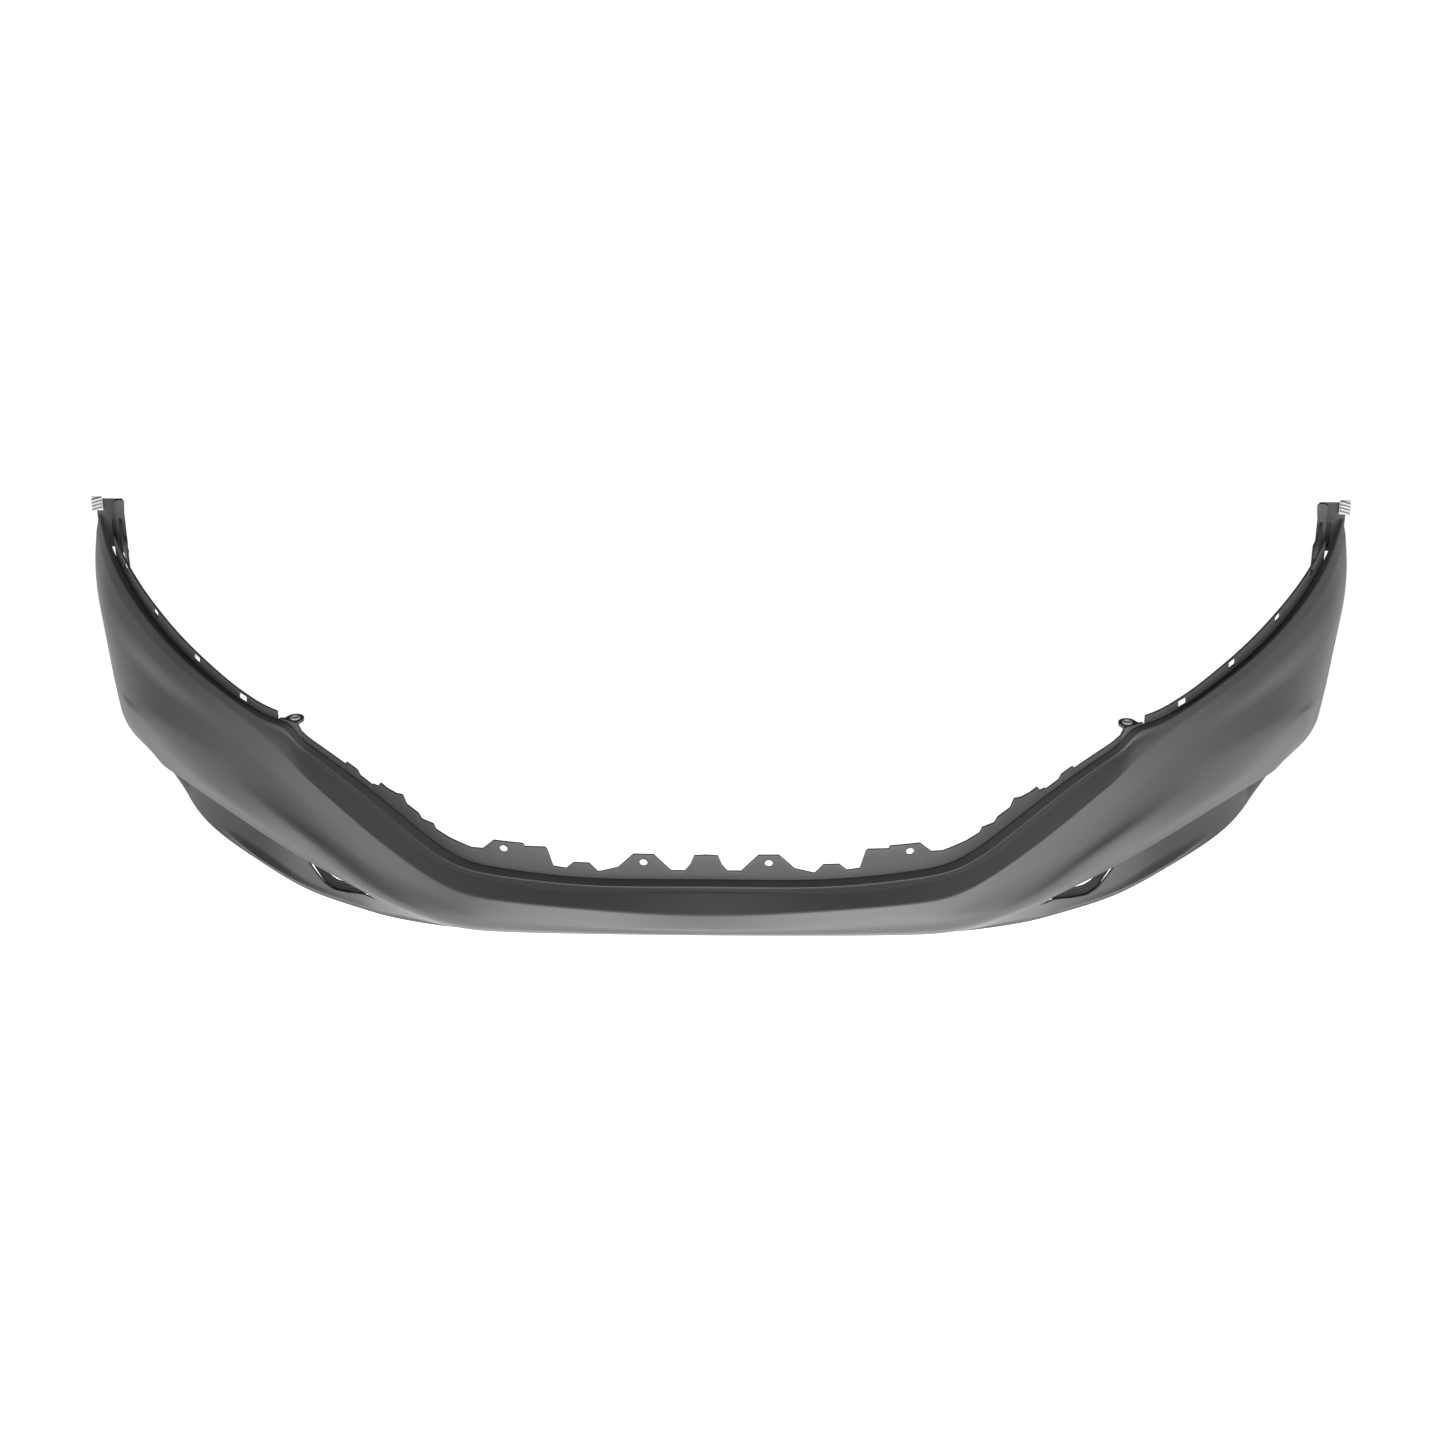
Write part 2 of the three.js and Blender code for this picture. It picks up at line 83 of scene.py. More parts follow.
SIDES = (("left", 1), ("right", -1))

# Feature lines of the right half, one point for each station from the middle to the wheel arch.
LIP = [(0, 42, 88), (141, 45, 86), (256, 58, 92), (331, 78, 102), (405, 120, 140),
       (475, 165, 176), (538, 205, 203), (604, 250, 226), (686, 325, 248), (767, 425, 269),
       (841, 540, 304), (879, 627, 348)]
BAND = [(0, 9, 66), (141, 13, 71), (256, 25, 76), (329, 46, 83), (407, 85, 118),
        (464, 122, 147), (526, 168, 179), (601, 236, 208), (693, 317, 239), (776, 420, 259),
        (851, 538, 295), (890, 632, 346)]
WEDGE = [(0, 3, 55), (141, 7, 56), (252, 18, 60), (328, 39, 66), (403, 78, 83),
         (458, 116, 107), (530, 168, 141), (612, 233, 177), (700, 309, 203), (785, 412, 208),
         (850, 505, 225), (886, 595, 240)]
ROLL_TOP = [(0, 0, 49), (141, 4, 48), (253, 15, 49), (329, 33, 53), (405, 73, 68),
            (470, 120, 91), (545, 168, 121), (618, 225, 149), (703, 290, 166), (780, 375, 165),
            (830, 463, 149), (859, 533, 133)]
BULGE = [(0, 0, 44), (141, 5, 42), (253, 15, 41), (330, 32, 42), (408, 66, 56),
         (470, 106, 79), (541, 151, 108), (620, 218, 124), (706, 290, 142), (788, 384, 150),
         (826, 451, 139), (846, 510, 90)]
ROLL_LOW = [(0, 6, 38), (141, 11, 36), (253, 20, 34), (330, 36, 34), (410, 70, 46),
            (468, 106, 61), (543, 160, 81), (618, 217, 98), (704, 297, 111), (785, 395, 120),
            (817, 447, 105), (830, 497, 66)]
CREASE = [(0, 14, 33), (141, 18, 31), (253, 27, 28), (330, 42, 28), (414, 82, 38),
          (461, 114, 43), (533, 169, 50), (606, 233, 58), (690, 318, 63), (754, 400, 54),
          (778, 436, 48), (796, 474, 42)]
FOOT = [(0, 86, 0), (141, 80, 0), (253, 77, 0), (330, 84, 0), (408, 106, 0),
        (456, 130, 0), (529, 173, 0), (600, 240, 0), (685, 333, 0), (730, 404, 0),
        (745, 432, 2), (757, 452, 6)]
# Height of the headlamp rail above the ledge at each station.
RAIL_RISE = [0, 0, 0, 0, 9, 9, 9, 12, 18, 24, 26, 24]
UP = np.array((0.0, 0.0, 1.0))


def smooth(x, low, high):
    """Rises softly from 0 to 1 as the distance from the middle goes from low to high."""
    u = np.clip((np.abs(x) - low) / (high - low), 0, 1)
    return u * u * (3 - 2 * u)


def rail(points):
    """A mirrored cubic B-spline close to a feature line, read by station number."""
    right = np.array(points, float)
    full = np.vstack([right[:0:-1] * (-1, 1, 1), right])
    ctrl = full.copy()
    for _ in range(2):
        ends = np.vstack([2 * ctrl[0] - ctrl[1], ctrl, 2 * ctrl[-1] - ctrl[-2]])
        ctrl += 0.9 * (full - (ends[:-2] + 4 * ends[1:-1] + ends[2:]) / 6)
    ctrl = np.vstack([2 * ctrl[0] - ctrl[1], ctrl, 2 * ctrl[-1] - ctrl[-2]])

    def at(t):
        t = as_rows(t)
        u = np.clip(t + LAST, 0, 2 * LAST - 1e-9)
        i = u.astype(int)
        f = (u - i)[:, None]
        a, b, c, d = (ctrl[i + k] for k in range(4))
        return ((1 - f) ** 3 * a + (3 * f ** 3 - 6 * f ** 2 + 4) * b
                + (-3 * f ** 3 + 3 * f ** 2 + 3 * f + 1) * c + f ** 3 * d) / 6
    return at


lip_line = rail(LIP)
band, wedge, roll_top, bulge = rail(BAND), rail(WEDGE), rail(ROLL_TOP), rail(BULGE)
roll_low, crease, foot = rail(ROLL_LOW), rail(CREASE), rail(FOOT)


def as_rows(t):
    return np.atleast_1d(np.asarray(t, float))


def lift(z):
    return np.asarray(z, float)[:, None] * UP


def lip(t):
    """The lip's line, lifted in a short saddle under each lug."""
    t = as_rows(t)
    past = np.abs(t) - LUG_STATION
    return lip_line(t) + lift(SADDLE * np.exp(-((past / np.where(past < 0, 0.25, 0.4)) ** 2)))


def inboard(curve, t):
    """Level unit vectors square to a curve, pointing away from the outside."""
    t = as_rows(t)
    d = curve(np.minimum(t + 0.05, LAST)) - curve(np.maximum(t - 0.05, -LAST))
    n = np.stack([-d[:, 1], d[:, 0], 0 * d[:, 0]], 1)
    return n / np.linalg.norm(n, axis=1, keepdims=True)


def ledge(t):
    """The inner edge of the ledge behind the lip."""
    t = as_rows(t)
    width = LEDGE_WIDTH - LEDGE_NARROWING * smooth(t, 3, 7) - TIP_NARROWING * smooth(t, 10, 11)
    rise = LEDGE_RISE - WING_DROP * smooth(t, 6.6, 7.6)
    return lip(t) + inboard(lip, t) * width[:, None] + lift(rise)


def mix(a, b, w):
    """The point a share w of the way from a to b."""
    w = np.asarray(w, float)
    w = w[:, None] if w.ndim else w
    return a * (1 - w) + b * w


def features(t, bead=True):
    """Corners of the skin's outside at each station, from the hem to the foot, and their softness.

    The corners: hem, ledge, lip, two of the groove, edge, belly, wedge, roll top, bulge, roll low,
    crease, tuck, neck, brim, under and low. The last ones make a small bead along the lower edge.
    """
    inward = inboard(lip, t)
    top, low = lip(t), foot(t)
    wing = smooth(t, 5.8, 7.5)
    edge = mix(band(t), mix(top, wedge(t), 0.2) - inward * 3, wing)
    groove = 1 - smooth(t, 5.5, 7)
    step = top + inward * STEP_IN - STEP_DOWN * UP
    sill = top - inward * SILL_OUT - SILL_DOWN * UP
    g1 = mix(mix(top, edge, 0.33), step, groove)
    g2 = mix(mix(top, edge, 0.66), sill, groove)
    belly = mix(edge, wedge(t), 0.5) - inward * (3 * smooth(t, 7, 9))[:, None]
    line = [edge, belly, wedge(t), roll_top(t), bulge(t), roll_low(t), crease(t)]
    one = np.ones(len(t))
    ends = 1 - smooth(t, 10, 11)
    pull = (ends, ends * smooth(t, 4.5, 6.5), 0 * one, one, one)
    round_line = [p + ((2 * p - a - b) / 8) * w[:, None]
                  for a, p, b, w in zip(line, line[1:], line[2:], pull)]
    below_wing = smooth(t, 5.9, 7.4) * (1 - smooth(t, 9.8, 11))
    depth = UNDERCUT * smooth(t, 4, 5) + WING_UNDERCUT * below_wing
    tuck = crease(t) + inboard(crease, t) * depth[:, None] - 2 * UP
    tuck = mix(mix(crease(t), low, 0.15), tuck, smooth(t, 4, 5))
    rim = smooth(t, 1.5, 3) * (1 - smooth(t, 7, 8)) * (1.0 if bead else 0.0)
    neck = mix(tuck, low, 1 - NECK / (tuck[:, 2] - low[:, 2]).clip(20))
    brim = mix(mix(neck, low, 0.45), low + BRIM_HEIGHT * UP - inward * BRIM_OUT, rim)
    under = mix(mix(neck, low, 0.65), low + UNDER_HEIGHT * UP - inward * UNDER_OUT, rim)
    pts = [ledge(t) - HEM * UP, ledge(t), top, g1, g2, edge, *round_line, crease(t),
           tuck, neck, brim, under, low]
    keen = smooth(t, 3.8, 4.6)
    soft = [0 * one, 2.4 * one, 1.3 + 0.8 * wing, 0.8 + 8 * wing, 1.2 + 8 * wing, 2.2 + 14 * wing,
            60 * one, 7 + 60 * smooth(t, 4.5, 6.5), 14 - 4 * wing, 60 * one, 60 * one,
            14 - 12.2 * keen, 8 - 6 * keen, 3 * one, one, one, 0 * one]
    return np.stack(pts, 1), np.stack(soft, 1)


def rounded(pts, soft, cuts=6):
    """Replaces each corner of the station outlines by a short curve of the given reach in mm."""
    rows = [pts[:, 0]]
    for i in range(1, pts.shape[1] - 1):
        a, b = pts[:, i - 1] - pts[:, i], pts[:, i + 1] - pts[:, i]
        la, lb = np.linalg.norm(a, axis=1), np.linalg.norm(b, axis=1)
        reach = np.minimum(soft[:, i], np.minimum(0.495 * la, 0.495 * lb))
        start = pts[:, i] + a * (reach / la)[:, None]
        end = pts[:, i] + b * (reach / lb)[:, None]
        for u in np.linspace(0, 1, cuts + 1):
            rows.append((1 - u) ** 2 * start + 2 * u * (1 - u) * pts[:, i] + u ** 2 * end)
    rows.append(pts[:, -1])
    return np.stack(rows, 1)


def inset(pts, depth):
    """Moves the corners inwards by a wall thickness, mitred."""
    along = np.gradient(pts, axis=0)
    along /= np.linalg.norm(along, axis=2, keepdims=True)
    seg = np.diff(pts, axis=1)
    n = np.cross(seg, 0.5 * (along[:, :-1] + along[:, 1:]))
    n /= np.linalg.norm(n, axis=2, keepdims=True)
    first = np.concatenate([n[:, :1], n], 1)
    second = np.concatenate([n, n[:, -1:]], 1)
    dot = np.sum(first * second, axis=2, keepdims=True)
    return pts - depth * (first + second) / (1 + np.maximum(dot, -0.2))


def place(points):
    """From the tables' millimetres to the frame's metres."""
    p = np.asarray(points, float) + (0, NOSE_Y, BASE_Z)
    return p * MM


def loop_mesh(name, grid):
    """A closed body from rows of closed loops, each loop going out and back, with capped ends."""
    n, k, _ = grid.shape
    verts = place(grid.reshape(-1, 3))
    i, j = np.meshgrid(np.arange(n - 1), np.arange(k), indexing="ij")
    a = i * k + j
    b = i * k + (j + 1) % k
    faces = np.stack([a, b, b + k, a + k], 2).reshape(-1, 4).tolist()
    last = (n - 1) * k
    for j in range(k // 2 - 1):
        q = (j, j + 1, k - 2 - j, k - 1 - j)
        faces.append(q)
        faces.append([last + x for x in reversed(q)])
    return mesh_object(name, verts, faces)


def ring_mesh(name, grid):
    """A closed ring body: both the rows and the loops close on themselves."""
    n, k, _ = grid.shape
    verts = place(grid.reshape(-1, 3))
    i, j = np.meshgrid(np.arange(n), np.arange(k), indexing="ij")
    a, b = i * k + j, i * k + (j + 1) % k
    c, d = (i + 1) % n * k + (j + 1) % k, (i + 1) % n * k + j
    return mesh_object(name, verts, np.stack([a, b, c, d], 2).reshape(-1, 4).tolist())


def mesh_object(name, verts, faces):
    """A new object with all faces pointing out."""
    mesh = bpy.data.meshes.new(name)
    mesh.from_pydata([tuple(p) for p in verts], [], faces)
    bm = bmesh.new()
    bm.from_mesh(mesh)
    bmesh.ops.remove_doubles(bm, verts=bm.verts, dist=1e-6)
    bmesh.ops.recalc_face_normals(bm, faces=bm.faces)
    if bm.calc_volume(signed=True) < 0:
        bmesh.ops.reverse_faces(bm, faces=bm.faces)
    bm.to_mesh(mesh)
    bm.free()
    obj = bpy.data.objects.new(name, mesh)
    bpy.context.scene.collection.objects.link(obj)
    return obj


def apply_modifiers(obj):
    bpy.context.view_layer.update()
    shown = obj.evaluated_get(bpy.context.evaluated_depsgraph_get())
    done = bpy.data.meshes.new_from_object(shown)
    old = obj.data
    obj.modifiers.clear()
    obj.data = done
    bpy.data.meshes.remove(old)


def boolean(obj, operation, other):
    mod = obj.modifiers.new("boolean", "BOOLEAN")
    mod.operation = operation
    mod.solver = "EXACT"
    mod.object = other
    apply_modifiers(obj)
    bpy.data.objects.remove(other)


def cut(obj, tools):
    """Cuts closed tool bodies out of an object."""
    boolean(obj, "DIFFERENCE", joined("cutter", tools))


def merge(obj, parts):
    """Unites overlapping closed bodies with an object."""
    for part in parts:
        boolean(obj, "UNION", part)


def joined(name, objs):
    """One object holding the bodies of several, which it removes."""
    bm = bmesh.new()
    for o in objs:
        part = o.data.copy()
        part.transform(o.matrix_world)
        bm.from_mesh(part)
        bpy.data.meshes.remove(part)
        bpy.data.objects.remove(o)
    mesh = bpy.data.meshes.new(name)
    bm.to_mesh(mesh)
    bm.free()
    obj = bpy.data.objects.new(name, mesh)
    bpy.context.scene.collection.objects.link(obj)
    return obj


def soften(obj, width, segments=2):
    """Breaks the sharp edges by a width in millimetres."""
    mod = obj.modifiers.new("edges", "BEVEL")
    mod.width = width * MM
    mod.segments = segments
    mod.limit_method = "ANGLE"
    mod.angle_limit = math.radians(35)
    mod.use_clamp_overlap = True
    apply_modifiers(obj)


def shade(obj, angle=40):
    obj.data.polygons.foreach_set("use_smooth", [True] * len(obj.data.polygons))
    obj.data.set_sharp_from_angle(angle=math.radians(angle))


def finish_piece(obj, nodes, material, angle=40):
    """Shades a piece, gives it its material, hangs it on the root body and hides the parts it stands for.
    """
    shade(obj, angle)
    obj.data.materials.clear()
    obj.data.materials.append(material)
    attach(obj, "root")
    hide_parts(*nodes)


def turned(obj, position, x, y, z):
    """Sets an object made around the origin at a point (tables' mm), with its axes along x, y and z."""
    turn = Matrix((x, y, z)).transposed().to_4x4()
    obj.data.transform(Matrix.Translation(place(position)) @ turn)
    return obj


def placed(obj, position, direction, across=(0, 0, 1)):
    """Sets an object at a point with its +Z along a direction."""
    z = Vector(direction).normalized()
    x = Vector(across).cross(z).normalized()
    return turned(obj, position, x, z.cross(x), z)


def lathe(name, outline, sides):
    """A turned body about Z from a closed or axis-to-axis outline of (radius, height) in mm."""
    angles = np.linspace(0, 2 * np.pi, sides, endpoint=False)
    verts = [(r * math.cos(a) * MM, r * math.sin(a) * MM, h * MM)
             for a in angles for r, h in outline]
    k = len(outline)
    faces = []
    for i in range(sides):
        for j in range(k):
            a, b = i * k + j, i * k + (j + 1) % k
            c, d = (i + 1) % sides * k + (j + 1) % k, (i + 1) % sides * k + j
            faces.append((a, b, c, d))
    return mesh_object(name, verts, faces)


def prism(name, outline, depth):
    """A straight body: outline in mm on XY, from -depth to depth along Z."""
    k = len(outline)
    verts = [(x * MM, y * MM, z * MM) for z in (-depth, depth) for x, y in outline]
    faces = [tuple(range(k)), tuple(range(k, 2 * k))]
    faces += [(i, (i + 1) % k, k + (i + 1) % k, k + i) for i in range(k)]
    return mesh_object(name, verts, faces)


def round_outline(points, radius, cuts=5):
    """A closed outline with its corners rounded."""
    p = np.array(points, float)
    out = []
    for i in range(len(p)):
        a, b = p[i - 1] - p[i], p[(i + 1) % len(p)] - p[i]
        la, lb = np.linalg.norm(a), np.linalg.norm(b)
        r = min(radius, 0.45 * la, 0.45 * lb)
        s, e = p[i] + a / la * r, p[i] + b / lb * r
        for u in np.linspace(0, 1, cuts + 1):
            out.append((1 - u) ** 2 * s + 2 * u * (1 - u) * p[i] + u * u * e)
    return np.array(out)


def box_outline(left, low, right, high, radius):
    """A rectangle with rounded corners."""
    return round_outline([(left, low), (right, low), (right, high), (left, high)], radius)


def circle(radius, points=48):
    """A circle's outline; the last of the points would be the first again and is dropped."""
    return [(radius * math.cos(a), radius * math.sin(a)) for a in np.linspace(0, 2 * np.pi, points)[:-1]]


# Materials.
def noise(tree, coords, scale, detail, rough=0.5):
    node = tree.nodes.new("ShaderNodeTexNoise")
    node.inputs["Scale"].default_value = scale
    node.inputs["Detail"].default_value = detail
    node.inputs["Roughness"].default_value = rough
    tree.links.new(coords.outputs["Object"], node.inputs["Vector"])
    return node.outputs["Fac"]


def ramp(tree, source, low, high, a, b):
    """Maps a source from the range low..high to the range a..b."""
    node = tree.nodes.new("ShaderNodeMapRange")
    node.inputs["From Min"].default_value = low
    node.inputs["From Max"].default_value = high
    node.inputs["To Min"].default_value = a
    node.inputs["To Max"].default_value = b
    tree.links.new(source, node.inputs["Value"])
    return node.outputs["Result"]


def grained_color(tree, color, broad, fine, specks):
    """The colour with broad soft clouds, multiplied by fine specks."""
    clouds = tree.nodes.new("ShaderNodeMix")
    clouds.data_type = "RGBA"
    clouds.inputs["A"].default_value = (*[c * 0.93 for c in color], 1)
    clouds.inputs["B"].default_value = (*[c * 1.07 for c in color], 1)
    tree.links.new(ramp(tree, broad, 0.35, 0.65, 0, 1), clouds.inputs["Factor"])
    level = ramp(tree, fine, 0.3, 0.7, 1 - specks, 1 + specks)
    shades = tree.nodes.new("ShaderNodeCombineColor")
    for channel in ("Red", "Green", "Blue"):
        tree.links.new(level, shades.inputs[channel])
    speck = tree.nodes.new("ShaderNodeMix")
    speck.data_type = "RGBA"
    speck.blend_type = "MULTIPLY"
    speck.inputs["Factor"].default_value = 1.0
    tree.links.new(clouds.outputs["Result"], speck.inputs["A"])
    tree.links.new(shades.outputs["Color"], speck.inputs["B"])
    return speck.outputs["Result"]


def material(name, color, roughness, grain, bump, specks):
    """A moulded plastic: clouded and speckled colour, and a fine grain as relief."""
    mat = bpy.data.materials.new(name)
    mat.use_nodes = True
    tree = mat.node_tree
    shader = tree.nodes["Principled BSDF"]
    coords = tree.nodes.new("ShaderNodeTexCoord")
    broad = noise(tree, coords, 3.0, 3.0)
    fine = noise(tree, coords, grain, 2.0, 0.6)
    tree.links.new(grained_color(tree, color, broad, fine, specks), shader.inputs["Base Color"])
    gloss = ramp(tree, broad, 0.3, 0.7, roughness - 0.03, roughness + 0.04)
    tree.links.new(gloss, shader.inputs["Roughness"])
    relief = tree.nodes.new("ShaderNodeBump")
    relief.inputs["Strength"].default_value = bump
    relief.inputs["Distance"].default_value = 0.0004
    tree.links.new(fine, relief.inputs["Height"])
    tree.links.new(relief.outputs["Normal"], shader.inputs["Normal"])
    return mat


PRIMER = material("primer", (0.062, 0.063, 0.066), 0.42, 900, 0.12, 0.06)
RAW = material("raw_plastic", (0.04, 0.041, 0.043), 0.55, 1400, 0.3, 0.1)
CLIP = material("clip_nylon", (0.5, 0.505, 0.515), 0.42, 700, 0.15, 0.03)
# Fog bezel: black plastic whose very dark tone is also painted shade, standing in for the shadow inside the
# fog opening where the bezel covers it.
BLACK_BEZEL_AND_SHADE = material("bezel_plastic", (0.022, 0.022, 0.024), 0.6, 1600, 0.35, 0.1)
PIN = material("pin_nylon", (0.02, 0.02, 0.022), 0.5, 900, 0.2, 0.05)


# Fog lamp opening: outlines on the recessed wall, x along the wall, y up.
FOG = [(-74, 35), (-45, 30), (-10, 20), (16, 16), (34, 21), (64, 44), (60, 46.5),
       (20, 43), (-20, 40), (-50, 37)]
FOG_CENTRE = np.array((0.0, 31.0))
FOG_OUTLINE = round_outline(FOG, 5)
BEZEL_HOLE = round_outline([(-20, 37), (-14, 32), (4, 27.5), (18, 26.5), (30, 29),
                            (52, 41.5), (52, 44.5), (22, 42.5), (0, 41), (-12, 39.5)], 3)


def fog_frame(sign):
    """The direction of the recessed wall at the opening, and the opening's middle, both level."""
    a, b = crease(4.25 * sign)[0], crease(6.15 * sign)[0]
    along = (b - a) * (1, 1, 0)
    along /= np.linalg.norm(along)
    middle = (a + b) / 2 * (1, 1, 0)
    return along, middle


def fog_cutter(sign):
    along, middle = fog_frame(sign)
    side, up = Vector(along), Vector(UP)
    return turned(prism("fog_cutter", FOG_OUTLINE, 60), middle, side, up, side.cross(up))


def on_wall(sign, s, z, depth):
    """Points on the recessed wall at s along it and height z, moved in by a depth."""
    along, middle = fog_frame(sign)
    ts = np.linspace(3.6, 6.9, 120) * sign
    at = (crease(ts) - middle) @ along
    order = np.argsort(at)
    t = np.interp(s, at[order], ts[order])
    wall = features(t)[0]
    tuck, low = wall[:, -5], wall[:, -1]
    w = (tuck[:, 2] - z) / (tuck[:, 2] - low[:, 2])
    return mix(tuck, low, w) + inboard(crease, t) * depth


# Skin.
def inner_skin(t, soft):
    """The inside of the shell, which runs straight behind the groove and has no bead."""
    inner = inset(features(t, bead=False)[0], WALL)
    inner[:, 3] = mix(inner[:, 2], inner[:, 5], 0.33)
    inner[:, 4] = mix(inner[:, 2], inner[:, 5], 0.66)
    return rounded(inner, np.maximum(soft - 1.0, 0.4))


def drain_notch(sign):
    notch = prism("notch", box_outline(-8, -5, 8, 5, 2), 7)
    notch.data.transform(Matrix.Translation(place((240 * sign, 32, 24))))
    return notch


def cover_skin():
    t = np.linspace(-LAST, LAST, 2 * LAST * STEPS + 1)
    corners, soft = features(t)
    grid = np.concatenate([rounded(corners, soft), inner_skin(t, soft)[:, ::-1]], 1)
    obj = loop_mesh("skin", grid)
    cut(obj, [make(sign) for _, sign in SIDES for make in (fog_cutter, drain_notch)])
    return obj


# Rails and flanges standing behind the hem.
def wall_grid(t, top, levels):
    """Loops of a standing wall behind the hem, from the hem's foot to the height top."""
    inward = inboard(lip, t)
    face = ledge(t) + inward * GAP
    low = ledge(t)[:, 2] - HEM
    rows = []
    for u in np.linspace(0, 1, levels):
        p = face.copy()
        p[:, 2] = low * (1 - u) + top * u
        rows.append(p)
    front = np.stack(rows, 1)
    back = front + (inward * RAIL_WALL)[:, None, :]
    return np.concatenate([front, back[:, ::-1]], 1)


# Grille rail: the top edge of its right half as (x, z), and its round holes.
GRILLE_EDGE = [(0, 124), (15, 123), (20, 110), (27, 101), (44, 101), (66, 124), (92, 124),
               (112, 104), (137, 97), (148, 109), (168, 109), (178, 100), (194, 102),
               (201, 126), (204, 129), (230, 128), (232, 132), (270, 133), (285, 119),
               (300, 118), (330, 126), (347, 133), (350, 140), (366, 142), (370, 149),
               (386, 157), (391, 169), (400, 168), (412, 171), (421, 176), (425, 170), (434, 171)]
GRILLE_HOLES = ((79, 112), (257, 122))
GRILLE_END = 4.5  # its last station


def grille_top():
    """Stations and heights of the tabbed edge, with extra points where its corners are blunted."""
    table = np.linspace(-GRILLE_END, GRILLE_END, 1500)
    at = (ledge(table) + inboard(lip, table) * GAP)[:, 0]
    closed = round_outline(GRILLE_EDGE + [(434, 60), (0, 60)], 1.6, 3)
    edge_x = closed[:-8, 0]
    xs = np.unique(np.round(np.concatenate([edge_x, np.arange(0, at[-1], 4.0), at[-1:]]), 2))
    xs = xs[(xs >= 0) & (xs <= at[-1])]
    tops = np.interp(xs, *np.array(GRILLE_EDGE).T)
    xs = np.concatenate([-xs[:0:-1], xs])
    return np.interp(xs, at, table), np.concatenate([tops[:0:-1], tops])


def grille_rail():
    obj = loop_mesh("grille_rail_piece", wall_grid(*grille_top(), 6))
    holes = [placed(prism("hole", circle(5), 60), (x * sign, 90, z), (0, 1, 0))
             for x, z in GRILLE_HOLES for _, sign in SIDES]
    cut(obj, holes)
    soften(obj, 0.35)
    return obj


FLANGE_SPAN = (4.515, 5.98)  # stations
FLANGE_RISE = 8.0  # above the ledge
FLANGE_TAB = 5.0  # and the tab above that


def corner_flange(name, sign):
    """The low flange between the grille rail and the lug, with one small tab."""
    t = np.linspace(*FLANGE_SPAN, 90) * sign
    tab = FLANGE_TAB * smooth(t, 4.74, 4.8) * (1 - smooth(t, 5.0, 5.06))
    flange = loop_mesh(name, wall_grid(t, ledge(t)[:, 2] + FLANGE_RISE + tab, 3))
    soften(flange, 0.35)
    return flange


# Screw lug: a plate against the hem, seen from the front, and a level ear with a round hole.
LUG_WALL = 4.0
LUG_TOP = 4.0  # height of the ear above the ledge
LUG_EYE = 12.0  # distance of its hole behind the hem
LUG_EAR = 11.5  # its half width and the radius of its round end
LUG_SHOULDER = 18.2  # half width of the plate
LUG_PLATE = [(-LUG_SHOULDER, -26), (-8, -14), (LUG_SHOULDER, -10), (LUG_SHOULDER, 3),
             (LUG_EAR, LUG_TOP), (-LUG_EAR, LUG_TOP), (-LUG_SHOULDER, -7)]
COLLAR = [(4.3, -3.2), (6.4, -3.2), (6.8, -2.8), (6.8, 2.8), (6.4, 3.2), (4.3, 3.2),
          (4.0, 2.9), (4.0, -2.9)]


def lug_seat(sign):
    """Where the lug stands: its foot on the ledge, the way inwards and the middle of its hole."""
    inward = inboard(lip, LUG_STATION * sign)[0]
    base = ledge(LUG_STATION * sign)[0] + inward * GAP
    eye = base + inward * LUG_EYE + UP * (LUG_TOP - LUG_WALL / 2)
    return base, inward, eye


def screw_lug(name, sign):
    base, inward, eye = lug_seat(sign)
    along = Vector((inward[1], -inward[0], 0)) * sign
    lug = prism(name, round_outline(LUG_PLATE, 1.2), LUG_WALL / 2)
    turned(lug, base + inward * (LUG_WALL / 2), along, Vector(UP), along.cross(Vector(UP)))
    arc = [(LUG_EAR * math.cos(a), LUG_EYE + LUG_EAR * math.sin(a)) for a in np.linspace(0, np.pi, 24)]
    ear = prism("ear", [(LUG_EAR, 0.2), *arc, (-LUG_EAR, 0.2)], LUG_WALL / 2 - 0.05)
    turned(ear, base + UP * (LUG_TOP - LUG_WALL / 2), along * sign, Vector(inward), Vector(UP))
    merge(lug, [ear])
    cut(lug, [placed(prism("hole", circle(7.4), 9), eye, UP, inward)])
    soften(lug, 0.6)
    return lug


def lug_collar(name, sign):
    """The light sleeve in the ear's hole."""
    _, inward, eye = lug_seat(sign)
    return placed(lathe(name, COLLAR, 56), eye, UP, inward)


# Headlamp rail: a standing wall with a row of slots.
LAMP_SPAN = (6.52, 10.3)  # stations
SLOT_STATIONS = (7.25, 8.15, 9.05, 9.85)
SLOT_DROP = 8.0  # middle of the slots below the rail's edge


def rail_rise(t):
    return np.interp(np.abs(t), range(LAST + 1), RAIL_RISE)


def lamp_slot(at, sign):
    """A slot's cutter, leaning with the rail's edge."""
    base = ledge(at * sign)[0]
    climb = (ledge((at + 0.1) * sign) - ledge((at - 0.1) * sign))[0]
    x = Vector(climb / np.linalg.norm(climb))
    z = Vector(inboard(lip, at * sign)[0])
    slot = prism("slot", box_outline(-8, -5, 8, 5, 1.6), 10)
    return turned(slot, (base[0], base[1], base[2] + rail_rise(at) - SLOT_DROP), x, z.cross(x), z)


def headlamp_rail(name, sign):
    t = np.linspace(*LAMP_SPAN, 160) * sign
    lamp = loop_mesh(name, wall_grid(t, ledge(t)[:, 2] + rail_rise(t), 5))
    cut(lamp, [lamp_slot(at, sign) for at in SLOT_STATIONS])
    soften(lamp, 0.35)
    return lamp


